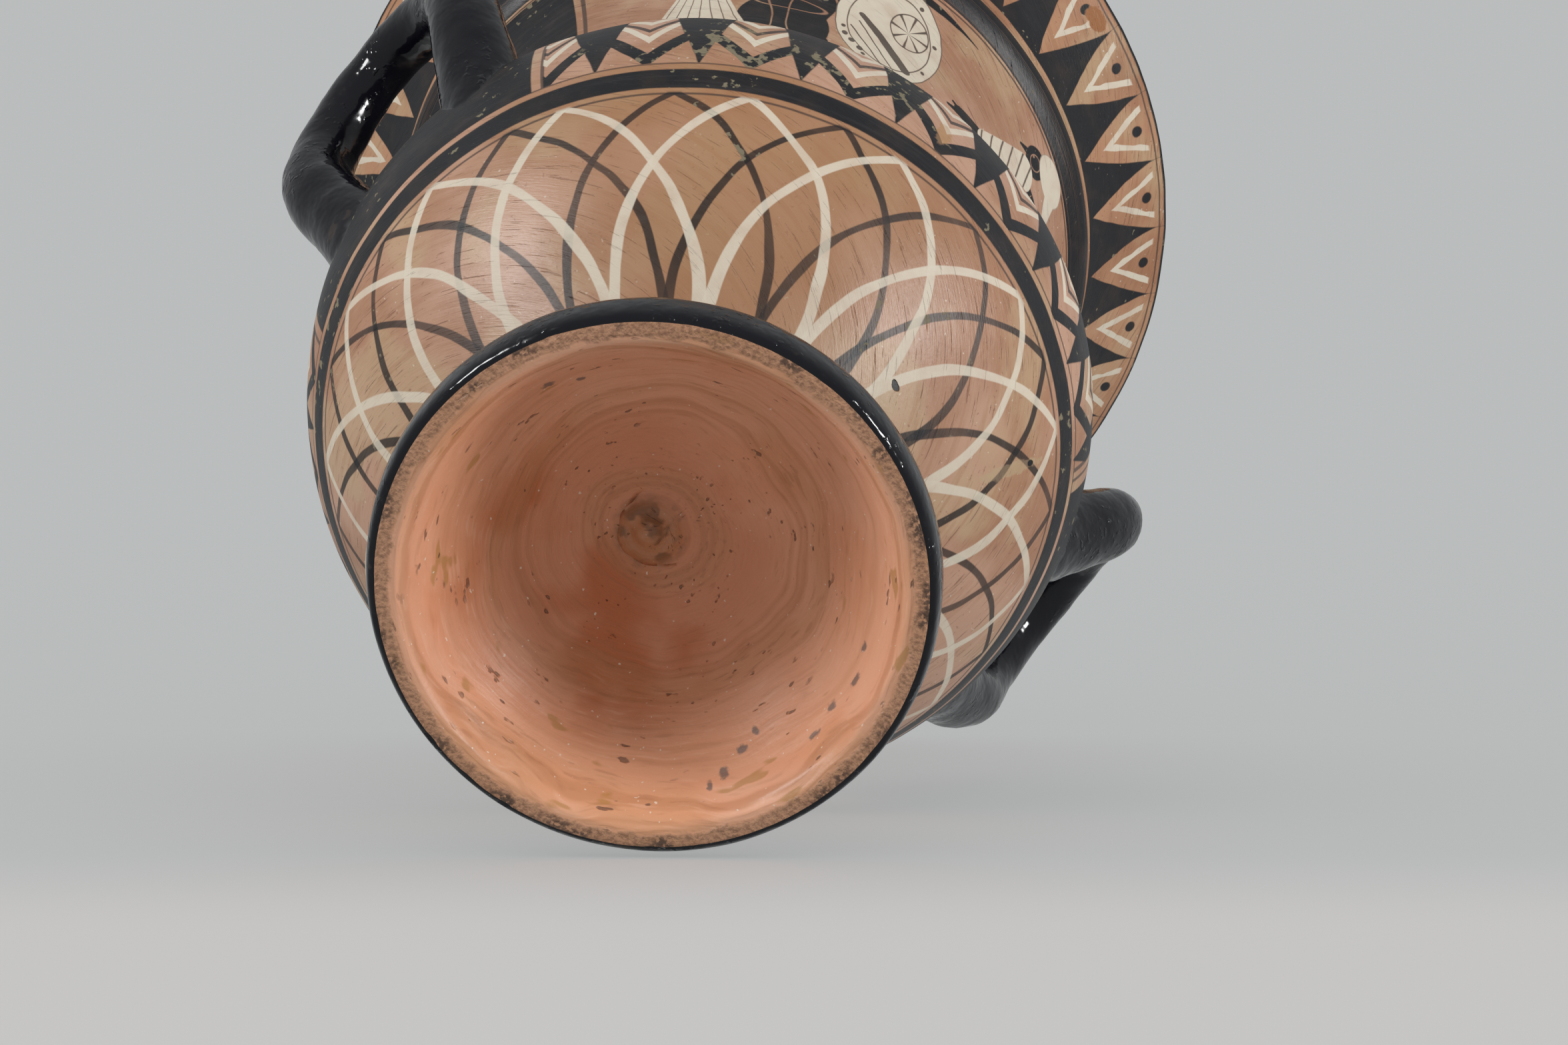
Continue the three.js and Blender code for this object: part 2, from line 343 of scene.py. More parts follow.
def join(target, tool, operation):
    cut = target.modifiers.new(operation, "BOOLEAN")
    cut.operation = operation
    cut.solver = "MANIFOLD"
    cut.object = tool
    finished = bpy.data.meshes.new_from_object(target.evaluated_get(bpy.context.evaluated_depsgraph_get()))
    target.modifiers.clear()
    target.data = finished
    bpy.data.objects.remove(tool)


def core():
    """The vase's filled inside, out to the middle of its wall, which cuts the handles' hidden ends off."""
    filled = bmesh.new()
    line = [(r - WALL / 2, h) for r, h, zone in outline if zone in (BELLY, BAND, FRIEZE) and h < WALL_TOP - 1]
    chain = [filled.verts.new((r * MM, 0, h * MM)) for r, h in [(0, line[0][1]), *line, (0, line[-1][1])]]
    spin(filled, chain, CORE_AROUND)
    bmesh.ops.recalc_face_normals(filled, faces=filled.faces)
    return filled


krater = as_object("painted_krater", pot)
for azimuth in HANDLE_AZIMUTHS:
    loop = as_object("loop", handle(azimuth))
    join(loop, as_object("core", core()), "DIFFERENCE")
    join(krater, loop, "UNION")

# The clay and the black slip: the fired body is a warm pinkish buff with clouds, burnishing strokes and scratches;
# the black is a thin satin slip, brushed on while the vase turned, so that it streaks and has flaked in places.
DEGREES = 180 / math.pi
PALE_CLAY, DEEP_CLAY, RED_SCRATCH = (0.54, 0.315, 0.215, 1), (0.385, 0.185, 0.100, 1), (0.20, 0.070, 0.040, 1)
SANDY_CLAY = (0.53, 0.375, 0.225, 1)
BLACK_SLIP, WORN_SLIP, FLAKED = (0.0065, 0.0065, 0.009, 1), (0.026, 0.025, 0.028, 1), (0.26, 0.22, 0.14, 1)
CREAM_SLIP, BROWN_LINE = (0.72, 0.635, 0.51, 1), (0.060, 0.038, 0.030, 1)
UNROLLED_FROM = 86


class Flow:
    """A value on its way through a material; sums done on it become the material's own nodes."""

    def __init__(self, tree, socket=None):
        self.tree, self.socket = tree, socket

    def node(self, kind, settings=None, sockets=None, out=0):
        made = self.tree.nodes.new("ShaderNode" + kind)
        for name, value in (settings or {}).items():
            setattr(made, name, value)
        for key, value in (sockets or {}).items():
            if isinstance(value, Flow):
                self.tree.links.new(value.socket, made.inputs[key])
            else:
                made.inputs[key].default_value = value
        return Flow(self.tree, made.outputs[out] if len(made.outputs) else None)

    def math(self, operation, *others, clamp=False):
        return self.node("Math", {"operation": operation, "use_clamp": clamp}, dict(enumerate((self, *others))))

    def __add__(self, other):
        return self.math("ADD", other)

    __radd__ = __add__

    def __sub__(self, other):
        return self.math("SUBTRACT", other)

    def __rsub__(self, other):
        return self.node("Math", {"operation": "SUBTRACT"}, {0: other, 1: self})

    def __mul__(self, other):
        return self.vector("MULTIPLY", other) if isinstance(other, tuple) else self.math("MULTIPLY", other)

    __rmul__ = __mul__

    def __truediv__(self, other):
        return self.math("DIVIDE", other)

    def __abs__(self):
        return self.math("ABSOLUTE")

    def vector(self, operation, *others, out=0):
        return self.node("VectorMath", {"operation": operation}, dict(enumerate((self, *others))), out)


def fresh_material(name):
    """A new material, the place in metres, and the azimuth, height and radius there in degrees and millimetres."""
    material = bpy.data.materials.new(name)
    material.use_nodes = True
    material.node_tree.nodes.clear()
    place = Flow(material.node_tree).node("TexCoord", out="Object")
    x, y, z = (place.node("SeparateXYZ", sockets={0: place}, out=axis) for axis in "XYZ")
    azimuth = (y.math("ARCTAN2", x) * DEGREES).math("FLOORED_MODULO", 360.0)
    radius = (x * x + y * y).math("SQRT") * (1 / MM)
    return material, place, azimuth, z * (1 / MM), radius


def clouds(place, size, detail=2.0, stretch=(1, 1, 1), turn=(0, 0, 0)):
    """Soft random variation, mostly 0.3 to 0.7, whose patches are about a size across, in metres."""
    if stretch != (1, 1, 1):
        place = place.node("Mapping", None, {"Vector": place, "Rotation": turn, "Scale": stretch})
    return place.node("TexNoise", None, {"Vector": place, "Scale": 1 / size, "Detail": detail})


def above(value, start, end):
    """0 where the value is under start, rising smoothly to 1 at end."""
    return value.node(
        "MapRange", {"interpolation_type": "SMOOTHSTEP"}, {"Value": value, "From Min": start, "From Max": end}
    )


def painted(distance, soft=0.3):
    """1 inside a brush mark, where its signed distance in millimetres is below 0."""
    return above(distance, soft, -soft)


def between(value, low, high, soft=0.3):
    """1 where the value lies from low to high."""
    return painted(abs(value - (low + high) / 2) - (high - low) / 2, soft)


def near(azimuth, middle, half):
    """Azimuth from a middle, wrapped to plus and minus half a repeat."""
    return (azimuth - middle).math("WRAP", half, -half)


def coat(under, mask, over):
    """One colour laid over another, as far as the mask lets it."""
    return mask.node("Mix", {"data_type": "RGBA"}, {0: mask, 6: under, 7: over}, out=2)


def climbing(place, azimuth, rise):
    """The place moved up by a rise in millimetres per degree, so that a pattern runs up the pot as it turns."""
    lift = place.node("CombineXYZ", None, {"Z": near(azimuth, UNROLLED_FROM, 180.0) * (rise * MM)})
    return place.vector("ADD", lift)


def buff_clay(place, azimuth, pale=PALE_CLAY, deep=DEEP_CLAY):
    """The bare clay's colour and its small relief: clouds, burnishing strokes, fine scratches, specks and dust."""
    patches = above(clouds(place, 0.06, 3), 0.38, 0.62)
    sandy = above(clouds(place, 0.04, 3), 0.48, 0.62)
    leaning = climbing(place, azimuth, 0.9)
    strokes = clouds(leaning, 0.03, 4, (1, 1, 13))
    scratches = above(clouds(leaning, 0.016, 3, (1, 1, 26)), 0.64, 0.70)
    fine = clouds(leaning, 0.006, 3, (1, 1, 14))
    specks = above(clouds(place, 0.0018, 1), 0.69, 0.76)
    dust = above(clouds(place, 0.0019, 1), 0.75, 0.77)
    colour = coat(pale, patches * 0.85, deep)
    colour = coat(colour, sandy * 0.6, SANDY_CLAY)
    colour = coat(colour, above(strokes, 0.5, 0.64) * 0.35, deep)
    colour = coat(colour, above(strokes, 0.46, 0.34) * 0.3, pale)
    colour = coat(colour, above(fine, 0.52, 0.7) * patches * 0.3, RED_SCRATCH)
    colour = coat(colour, scratches * 0.5, RED_SCRATCH)
    colour = coat(colour, specks * 0.4, RED_SCRATCH)
    colour = coat(colour, dust * 0.6, CREAM_SLIP)
    relief = strokes * 0.3 + fine * 0.3 + clouds(place, 0.0016, 2) * 0.14 - scratches * 0.4
    return colour, relief


def black_slip(place, brush=(1, 1, 26), scuffed=0.0):
    """The black's colour, its relief and the share of it that has flaked off, more of it where it is scuffed."""
    streaks = clouds(place, 0.05, 4, brush)
    flakes = above(clouds(place, 0.0042, 3) + clouds(place, 0.05, 1) * 0.5 + scuffed, 0.93, 0.99)
    colour = coat(BLACK_SLIP, above(streaks, 0.5, 0.75) * 0.7, WORN_SLIP)
    return colour, streaks * 0.35 + clouds(place, 0.006, 2) * 0.25, flakes


def fire(material, place, colour, roughness, relief, depth=0.35, gloss=0.42):
    """Closes a material: its colour, its polish and its relief, whose full depth is in millimetres."""
    bump = place.node("Bump", None, {"Height": relief, "Distance": depth * MM, "Strength": 1.0})
    surface = place.node("BsdfPrincipled", None, {
        "Base Color": colour, "Roughness": roughness, "Normal": bump, "Specular IOR Level": gloss})
    place.node("OutputMaterial", None, {"Surface": surface})
    return material


def slipped(material, place, clay_colour, relief, black, brown, cream, scuffed=0.0, brush=(1, 1, 26)):
    """The clay with its three slips on it, each given by the share of the surface that it covers."""
    slip, slip_relief, flakes = black_slip(place, brush, scuffed)
    wash = clouds(place, 0.012, 3)
    colour = coat(clay_colour, brown * 0.85, BROWN_LINE)
    colour = coat(colour, black * (0.92 + wash * 0.16).math("MINIMUM", 1.0), slip)
    colour = coat(colour, black * flakes * 0.8, FLAKED)
    colour = coat(colour, cream * (0.45 + wash * 0.95).math("MINIMUM", 0.97), CREAM_SLIP)
    shine = 0.33 + black * 0.05 + cream * 0.16 + wash * 0.10 + black * flakes * 0.3
    return fire(material, place, colour, shine, relief + slip_relief * 0.3)


def blot(place, azimuth, height, radius, middle, level, reach, rise):
    """A ragged spot at an azimuth and height, with its reach and rise in millimetres."""
    aside = near(azimuth, middle, 180.0) * radius * (1 / DEGREES / reach)
    apart = (height - level) * (1 / rise)
    ragged = clouds(place, 0.004, 3) * 1.4 + 0.3
    return above((aside * aside + apart * apart).math("SQRT"), ragged + 0.12, ragged - 0.12)


# The belly's painting: fourteen cream and fourteen black arches, drawn freehand so that each foots under the next
# ones' points, below a thin line, a broad black band and a second line.
ARCHES = 14
ARCH_SPACING = 360 / ARCHES
CREAM_PHASE, BLACK_PHASE = 97.7, 112.8
CREAM_DRIFT = {0: -1.9, 1: -3.3, 2: 0.4, 3: -0.2, 4: 2.5, 5: -1.0, 6: -0.5, 7: -0.7}
BLACK_DRIFT = {-1: -3.0, 0: -1.9, 1: -0.9, 3: 0.4, 4: -2.3, 5: -3.0, 6: -2.1}
ARCH_TOP, ARCH_FALL = 157, 60
LINES_HIGHEST = 235
SCORCHED_AROUND, SCORCHED = 152, (0.36, 0.175, 0.078, 1)
SMEARED = (0.50, 0.37, 0.22, 1)
SMEARS = [(229, 135, 2.6, 12, 0.6), (203, 101, 7, 4, 0.4), (266, 118, 4, 3, 0.6)]


def line_sway(azimuth, place):
    """How far the turned lines run off level, as the brush hand rose and fell."""
    lift = ((azimuth - LINES_HIGHEST) * (2 / DEGREES)).math("COSINE")
    return lift * 0.9 + (clouds(place, 0.03, 1) - 0.5) * 0.9


def arches(azimuth, height, radius, phase, half_width, widening, drifts):
    """Share covered by the arches: both legs of each run down and out to a foot one spacing away.

    The drifts say how far some of the arches stand off their even places, in degrees.
    """
    fall = (ARCH_TOP - height) / ARCH_FALL
    run = fall * (1.6 - fall * 0.6)
    turn = (azimuth - phase) / ARCH_SPACING
    across = radius * (ARCH_SPACING / DEGREES)
    lean = across * (1.6 - fall * 1.2) / (ARCH_FALL * 1.25)
    narrow = across / (1 + lean * lean).math("SQRT")
    half = fall * fall * widening + half_width
    legs = []
    for side in (turn - run, turn + run):
        off_leg = side.math("WRAP", 0.5, -0.5)
        turn_number = side.math("ROUND")
        for number, drift in drifts.items():
            off_leg = off_leg - turn_number.math("COMPARE", number, 0.5) * (drift / ARCH_SPACING)
        legs.append(painted(abs(off_leg) * narrow - half))
    bare = 1 - above(fall, 0.015, -0.015)
    first, second = legs
    return (1 - (1 - first * 0.9) * (1 - second * 0.9)) * bare


def belly_painting():
    material, place, azimuth, height, radius = fresh_material("belly")
    clay_colour, relief = buff_clay(place, azimuth)
    scorched = above(abs(near(azimuth, SCORCHED_AROUND, 180.0)) + clouds(place, 0.05, 2) * 40, 82, 26)
    clay_colour = coat(clay_colour, scorched * 0.7, SCORCHED)
    level = height - line_sway(azimuth, place)
    shake = (clouds(place, 0.045, 2) - 0.5) * 3.2
    pressure = (clouds(place, 0.03, 2) - 0.5) * 1.4
    cream = arches(azimuth + shake, level + shake * 0.6, radius, CREAM_PHASE, pressure + 1.6, 0.7, CREAM_DRIFT)
    ink = arches(azimuth - shake, level - shake * 0.6, radius, BLACK_PHASE, pressure + 1.35, 0.45, BLACK_DRIFT)
    density = above(clouds(place, 0.04, 3), 0.35, 0.6) * 0.14 + 0.86
    bands = between(level, 159, 168.5, 0.4)
    thin = between(level, 155.9, 156.8, 0.35) + between(level, 171.4, 172.2, 0.35) * 0.9
    black = (bands + ink * density).math("MINIMUM", 1.0)
    for *spot, strength in SMEARS:
        smear = blot(place, azimuth, height, radius, *spot) * strength
        clay_colour = coat(clay_colour, smear, SMEARED)
        cream, black = cream * (1 - smear * 0.6), black * (1 - smear * 0.6)
    pits = blot(place, azimuth, height, radius, 229, 143, 1.3, 1.3)
    pits = pits.math("MAXIMUM", blot(place, azimuth, height, radius, 201.5, 105.3, 2.4, 0.9))
    black = black.math("MAXIMUM", pits)
    return slipped(material, place, clay_colour, relief - pits * 2, black, thin, cream * (1 - pits))


# The pattern on the shoulder: black points and chevrons between two handle panels, with cream and black zigzags in
# the clay between them, mirrored over the edge of the shoulder.
CHEVRON_SPACING, CHEVRON_PHASE = 15.2, 118
SCUFFED_AROUND = 143
ORANGE_SMEAR = (0.42, 0.23, 0.08, 1)
SHOULDER_MIRROR = 213
SHOULDER_ARC = 46.6 / (math.pi / 2)
PANEL_MIDDLES, PANEL_HALVES = HANDLE_AZIMUTHS, (25.5, 28.5)


def zigzag(across, level, foot, slope, half):
    """A slanting stroke that starts at its foot, mirrored with the pattern's own halves into a chevron."""
    return painted(abs(level - foot - across * slope) - half)


def chevrons(azimuth, level):
    """The black and the cream of the pattern, from the azimuth and the height of its lower, mirrored half."""
    across = abs(near(azimuth, CHEVRON_PHASE, CHEVRON_SPACING / 2))
    point = (level - 170) * (1.75 / 14.5) - (CHEVRON_SPACING / 2 - across)
    chevron_edge = level - 171.5 - (across - 0.6).math("MAXIMUM", 0.0) * 2.9
    outer = painted(point.math("MAXIMUM", chevron_edge * 0.4) * -1.0, 0.15)
    field = ((level - 178) / 3).math("MINIMUM", 5.2 - (level - 190) * 0.075)
    black = outer * painted(field - across, 0.14)
    inside = painted(across - field, 0.14)
    cream = (zigzag(across, level, 188.3, 3.9, 2.9) + zigzag(across, level, 206.2, 2.3, 2.2)) * inside
    ink = zigzag(across, level, 197.2, 2.9, 1.7) * inside
    return black + ink * 0.85, cream


def shoulder_painting():
    material, place, azimuth, height, radius = fresh_material("shoulder")
    clay_colour, relief = buff_clay(place, azimuth)
    over = ((height - BOWL_TOP) / SHOULDER_RISE).math("ARCTAN2", (radius - WALL_FOOT) / (BOWL_RADIUS - WALL_FOOT))
    climb = (over * SHOULDER_ARC + BOWL_TOP).math("MAXIMUM", 0.0)
    is_over = above(height, BOWL_TOP - 0.1, BOWL_TOP + 0.1)
    unrolled = height * (1 - is_over) + climb * is_over
    sway = line_sway(azimuth, place)
    shake = (clouds(place, 0.02, 2) - 0.5) * 1.6
    mirrored = SHOULDER_MIRROR - abs(unrolled - SHOULDER_MIRROR) + shake
    black, cream = chevrons(azimuth + shake * 0.5, mirrored)
    level = height - sway
    offs = [abs(near(azimuth, middle, 180.0)) - half for middle, half in zip(PANEL_MIDDLES, PANEL_HALVES)]
    panels = [painted(off, 0.15) for off in offs]
    frames = [painted(off - 1.9, 0.15) for off in offs]
    border = between(offs[0], 1.5, 2.1, 0.12) + between(offs[1], 1.7, 2.2, 0.12) + between(offs[1], 3.2, 3.9, 0.12)
    free = (1 - frames[0]) * (1 - painted(offs[1] - 3.4, 0.15))
    field = above(level, 171.0, 171.9)
    black = (black * free).math("MINIMUM", 1.0) + (panels[0] + panels[1]).math("MINIMUM", 1.0) * field
    top = above(unrolled, 252.5, 253.5)
    lines = between(level, 171.3, 172.2, 0.35) + border * field
    black = (black + top + between(level, 159, 168.5, 0.4)).math("MINIMUM", 1.0)
    cream = cream * free * (1 - top)
    smear = blot(place, azimuth, height, radius, 178.5, 184, 3.4, 7) * 0.6
    clay_colour = coat(clay_colour, smear, ORANGE_SMEAR)
    black, cream = black * (1 - smear * 0.8), cream * (1 - smear * 0.7)
    scuffed = above(abs(near(azimuth, SCUFFED_AROUND, 180.0)), 30, 8) * above(height, 206, 198) * 0.13
    lines = lines.math("MINIMUM", 1.0)
    return slipped(material, place, clay_colour, relief, black, lines, cream, scuffed=scuffed)


# The frieze round the wall: dark figures in cream and black dress on the bare clay, between the black panels
# behind the handles, the same on both sides; a line runs above them and a black one below.
FRIEZE_MIDDLE = 178
FRIEZE_SCALE = 2.15
WALL_PANEL = 18.4


def spot_at(turn, height):
    """A place in the picture, in millimetres, from its azimuth off the picture's middle and its height."""
    return (turn * FRIEZE_SCALE, height, 0)


def oval(spot, turn, height, reach, rise):
    """Signed distance to an oval whose reach and rise are in millimetres."""
    middle = spot_at(turn, height)
    scaled = spot.vector("MULTIPLY_ADD", (1 / reach, 1 / rise, 0), (-middle[0] / reach, -middle[1] / rise, 0))
    return (scaled.vector("LENGTH", out="Value") - 1) * min(reach, rise)


def limb(spot, start, end, thick, thin):
    """Signed distance to a stroke of the brush that starts thick and ends thin."""
    start, end = Vector(spot_at(*start)), Vector(spot_at(*end))
    lead = end - start
    along = spot.vector("SUBTRACT", tuple(start))
    share = along.vector("DOT_PRODUCT", tuple(lead / lead.length_squared), out="Value").math("ADD", 0.0, clamp=True)
    on_line = share.node("VectorMath", {"operation": "SCALE"}, {0: tuple(lead), "Scale": share})
    return along.vector("DISTANCE", on_line, out="Value") - share * (thin - thick) - thick


def robe(across, height, middle, top, foot, narrow, flare, wide):
    """Signed distance to a hanging skirt, and the place across it from -1 to 1."""
    half = ((top - height) * flare + narrow).math("MINIMUM", wide)
    off = across - middle
    side = (abs(off) - half) * FRIEZE_SCALE
    ends = abs(height - (top + foot) / 2) - (top - foot) / 2
    return side.math("MAXIMUM", ends), off / half


def nearest(shapes):
    """Signed distance to several shapes taken together."""
    found = shapes[0]
    for shape in shapes[1:]:
        found = found.math("MINIMUM", shape)
    return found


def figures(across, height):
    """Black, cream and drawn line of the frieze's picture."""
    spot = across.node("CombineXYZ", None, {"X": across * FRIEZE_SCALE, "Y": height})
    skirt, skirt_place = robe(across, height, -44, 394, 250, 3.2, 0.15, 10.0)
    folds = painted(abs((skirt_place * 3.5).math("WRAP", 0.5, -0.5)) * 5 - 0.28, 0.3)
    attendant = nearest([
        oval(spot, -44.5, 402, 8.5, 13), oval(spot, -43.5, 420, 6, 7.6),
        limb(spot, (-46, 408), (-55, 401), 3.2, 2.4), limb(spot, (-55, 401), (-58, 413), 2.4, 1.8),
        limb(spot, (-42, 408), (-36, 396), 3.2, 2.2), limb(spot, (-47, 249), (-41, 249), 2.6, 1.6),
    ])
    warrior = nearest([
        oval(spot, -27.5, 363, 20, 24), limb(spot, (-26, 376), (-22, 404), 14, 12),
        oval(spot, -20, 419, 6.6, 8), limb(spot, (-28, 425), (-14, 428), 1.2, 2.6),
        limb(spot, (-31, 352), (-36, 302), 10, 6.5), limb(spot, (-36, 302), (-33, 256), 6.5, 3.4),
        limb(spot, (-33, 251), (-27, 249.5), 2.8, 1.6), limb(spot, (-22, 352), (-12, 306), 10, 6.5),
        limb(spot, (-12, 306), (-15, 256), 6.5, 3.4), limb(spot, (-15, 251), (-9, 249.5), 2.8, 1.6),
        limb(spot, (-36, 426), (-3, 425.8), 0.6, 0.7), limb(spot, (-3, 425.8), (9, 424), 2.4, 0.2),
    ])
    gown, gown_place = robe(across, height, 38.5, 406, 250, 6.0, 0.04, 10.5)
    guest = nearest([
        gown, oval(spot, 31.6, 417, 7, 7.2), limb(spot, (29, 415), (26.8, 412.5), 1.8, 0.7),
        limb(spot, (20, 380), (12.5, 377.5), 4.6, 3.4), limb(spot, (12.5, 376), (9.6, 374), 2.0, 1.0),
        limb(spot, (13, 378), (10.4, 379.5), 1.4, 0.8), limb(spot, (33, 249), (27, 249), 2.6, 1.6),
    ])
    shield = oval(spot, -7, 389, 24.5, 37)
    sleeve = limb(spot, (31, 404), (20.5, 382), 8.5, 5.5)
    cap = nearest([oval(spot, 36.5, 424.5, 11, 8), limb(spot, (39, 422), (42, 412), 5, 3)])
    boss = oval(spot, -3.5, 398, 9, 12.5)
    rays = abs((spot.vector("SUBTRACT", spot_at(-3.5, 398)).node(
        "Math", {"operation": "ARCTAN2"},
        {0: across + 3.5, 1: (height - 398) * (0.72 / FRIEZE_SCALE)}) * (8 / (2 * math.pi))).math("WRAP", 0.5, -0.5))
    emblem = painted(abs(boss) - 0.32, 0.25) + painted(boss, 0.3) * painted(rays - 0.1, 0.06)
    bar = limb(spot, (-13.2, 392), (-1.5, 368), 1.6, 2.9)
    dots = nearest([
        oval(spot, turn, level, wide, 1.9)
        for turn, level, wide in ((-15.2, 371, 1.4), (-13.6, 367, 1.5), (-11.6, 363, 1.6))
    ])
    studs = nearest([
        oval(spot, -7 + 9.8 * math.sin(math.radians(step)), 389 + 31.8 * math.cos(math.radians(step)), 1.1, 1.3)
        for step in range(22, 380, 45)
    ])
    hatching = limb(spot, (-14.6, 380), (-5.5, 357), 0.1, 0.1) - 0.35
    hatching = hatching.math("MINIMUM", limb(spot, (-13.4, 386), (-3.5, 360), 0.1, 0.1) - 0.3)
    on_shield = painted(nearest([abs(shield) - 0.45, abs(shield + 5.4) - 0.3, hatching]), 0.25)
    on_shield = on_shield + painted(nearest([bar, dots, studs]), 0.25) + emblem
    on_sleeve = painted(abs((across * 0.9 + height * 0.12).math("WRAP", 1.5, -1.5)) * 1.6 - 0.4, 0.3)
    bodies = painted(nearest([attendant, warrior, guest]), 0.35)
    cream_skirt = painted(skirt, 0.35)
    cream_shield = painted(shield, 0.3)
    cream_sleeve = painted(nearest([sleeve, cap]), 0.3)
    cream = (cream_skirt + cream_shield + cream_sleeve).math("MINIMUM", 1.0)
    lines = cream_skirt * folds + cream_sleeve * painted(sleeve, 0.3) * on_sleeve
    lines = lines + painted(shield - 0.5, 0.3) * on_shield + painted(abs(cap) - 0.3, 0.2) * 0.6
    gown_folds = painted(abs((gown_place * 2.5).math("WRAP", 0.5, -0.5)) * 7 - 0.22, 0.25) * painted(gown + 1, 0.3)
    cuts = nearest([
        abs(oval(spot, -34, 362, 9, 26)) - 0.35, abs(oval(spot, -22, 372, 11, 30)) - 0.35,
        abs(oval(spot, -27, 381, 15, 5)) - 0.3, abs(oval(spot, -20, 419, 3.6, 4.6)) - 0.25,
        abs(oval(spot, 31.6, 417, 3.4, 3.6)) - 0.25,
        oval(spot, 30.4, 418, 0.7, 0.7), oval(spot, -18.6, 420, 0.7, 0.7),
    ])
    incised = (painted(cuts, 0.22) + gown_folds).math("MINIMUM", 1.0) * (1 - cream)
    return bodies * (1 - cream), cream, lines.math("MINIMUM", 1.0), incised


def frieze_painting():
    material, place, azimuth, height, _ = fresh_material("frieze")
    clay_colour, relief = buff_clay(place, azimuth)
    shake = (clouds(place, 0.018, 2) - 0.5) * 2.2
    across = near(azimuth, FRIEZE_MIDDLE, 90.0) + shake * 0.4
    bodies, cream, drawn, incised = figures(across, height + shake)
    offs = [abs(near(azimuth, middle, 180.0)) - WALL_PANEL for middle in HANDLE_AZIMUTHS]
    beside = offs[0].math("MINIMUM", offs[1])
    panel = painted(beside, 0.15) * above(height, 430, 429.2)
    clear = above(beside, 0.2, 0.3)
    lines = between(height - line_sway(azimuth, place) * 0.5, 429.9, 430.9, 0.3) + between(beside, 1.4, 2.3, 0.12)
    ground = between(height, 236, 246, 0.5)
    black = (panel + bodies * (1 - incised * 0.8) * clear + ground).math("MINIMUM", 1.0)
    cream = cream * clear
    lines = (lines * (1 - cream)).math("MINIMUM", 1.0)
    black = (black + drawn * cream * 0.9).math("MINIMUM", 1.0)
    return slipped(material, place, clay_colour, relief, black, lines, cream * (1 - drawn * 0.9))


# The ring and the lip: a black band under a bare one, then thirty-seven black rays with cream chevrons and black
# dots in the clay between them, and a black edge to the mouth.
RAYS = 37
RAY_SPACING = 360 / RAYS
RAY_PHASE = 230
RAY_FOOT, RAY_TIP = 455.5, 493
LIP_CLAY, LIP_DEEP, CHIPPED = (0.50, 0.26, 0.145, 1), (0.34, 0.155, 0.08, 1), (0.34, 0.135, 0.045, 1)


def mouth_painting():
    material, place, azimuth, height, radius = fresh_material("mouth")
    clay_colour, relief = buff_clay(place, azimuth, LIP_CLAY, LIP_DEEP)
    shake = (clouds(place, 0.02, 2) - 0.5) * 1.5
    level = height + shake * 0.7
    across = abs(near(azimuth + shake * 0.5, RAY_PHASE, RAY_SPACING / 2))
    ray = across - ((RAY_TIP - level) * (1 / (RAY_TIP - RAY_FOOT))).math("POWER", 1.35) * (RAY_SPACING / 2)
    rays = painted(ray, 0.12) * above(level, 452.2, 452.8)
    from_gap = RAY_SPACING / 2 - across
    gap_spot = from_gap.node("CombineXYZ", None, {"X": from_gap * 3.0, "Y": level})
    dot = painted((gap_spot.vector("MULTIPLY_ADD", (1 / 2.3, 1 / 2.4, 0), (0, -487 / 2.4, 0)).vector(
        "LENGTH", out="Value") - 1) * 2, 0.3)
    arms = abs(level - 470.3 - from_gap * 7.1) - 3.1 - (clouds(place, 0.01, 2) - 0.5) * 5
    cream = painted(arms.math("MAXIMUM", level - 491), 0.5)
    band = between(height + shake * 0.3, 431, 442, 0.5)
    edge = above(height + shake * 0.4, 495.2, 495.9)
    black = (rays + dot + band + edge).math("MINIMUM", 1.0)
    brown = between(level, 493.2, 493.9, 0.3)
    throwing = painted(abs(clouds(place, 0.05, 2, (0.1, 0.1, 60)) - 0.5) - 0.012, 0.02) * band * 0.25
    chip = blot(place, azimuth, height, radius, 198.2, 489, 6.5, 3.6)
    black = black * (1 - throwing) * (1 - chip)
    clay_colour = coat(clay_colour, chip, CHIPPED)
    cream = cream * (1 - rays) * (1 - chip)
    return slipped(material, place, clay_colour, relief, black, brown, cream, brush=(1, 1, 3))


# The bare underside: orange clay in the deep hollow of the foot, with throwing rings, dark nicks, a darker middle
# and painted shade on the hub at its deepest point, and a rough brown ring that the vase rests on.
DARKER_MIDDLE_AT = (0.019, 0.007, 0)
SALMON, ORANGE, DARKER_MIDDLE_TONE = (0.80, 0.41, 0.255, 1), (0.74, 0.32, 0.165, 1), (0.53, 0.155, 0.050, 1)
BROAD_BAND, THROWN_BAND = (0.53, 0.28, 0.13, 1), (0.44, 0.18, 0.075, 1)
DARK_HAIR, PALE_HAIR = (0.34, 0.14, 0.06, 1), (0.88, 0.52, 0.36, 1)
OCHRE, NICKED = (0.42, 0.21, 0.05, 1), (0.11, 0.055, 0.04, 1)
SMUDGED, DUSTY = (0.105, 0.10, 0.10, 1), (0.85, 0.74, 0.60, 1)
# The hub's two colours are painted shade: the hub sits at the deepest point of the hollow, and the darker one fills
# its crevices.
HUB_PAINTED_SHADE, HUB_SHADE = (0.36, 0.19, 0.085, 1), (0.15, 0.075, 0.035, 1)
RING_CLAY, RING_GRIT, RING_STAIN = (0.42, 0.225, 0.13, 1), (0.22, 0.10, 0.055, 1), (0.04, 0.027, 0.022, 1)
# The smudges: azimuth, radius, and half their length and width.
SMUDGES = [
    (296, 73, 2.2, 1.4), (302, 77, 1.8, 1.5), (291, 70, 1.4, 1.2), (306, 79, 1.2, 1.0), (268, 77, 2.4, 0.9),
    (276, 79, 3.0, 0.8), (258, 78, 3.2, 0.7), (250, 76, 2.0, 0.8), (110, 74, 2.6, 1.3), (118, 70, 2.0, 1.2),
]


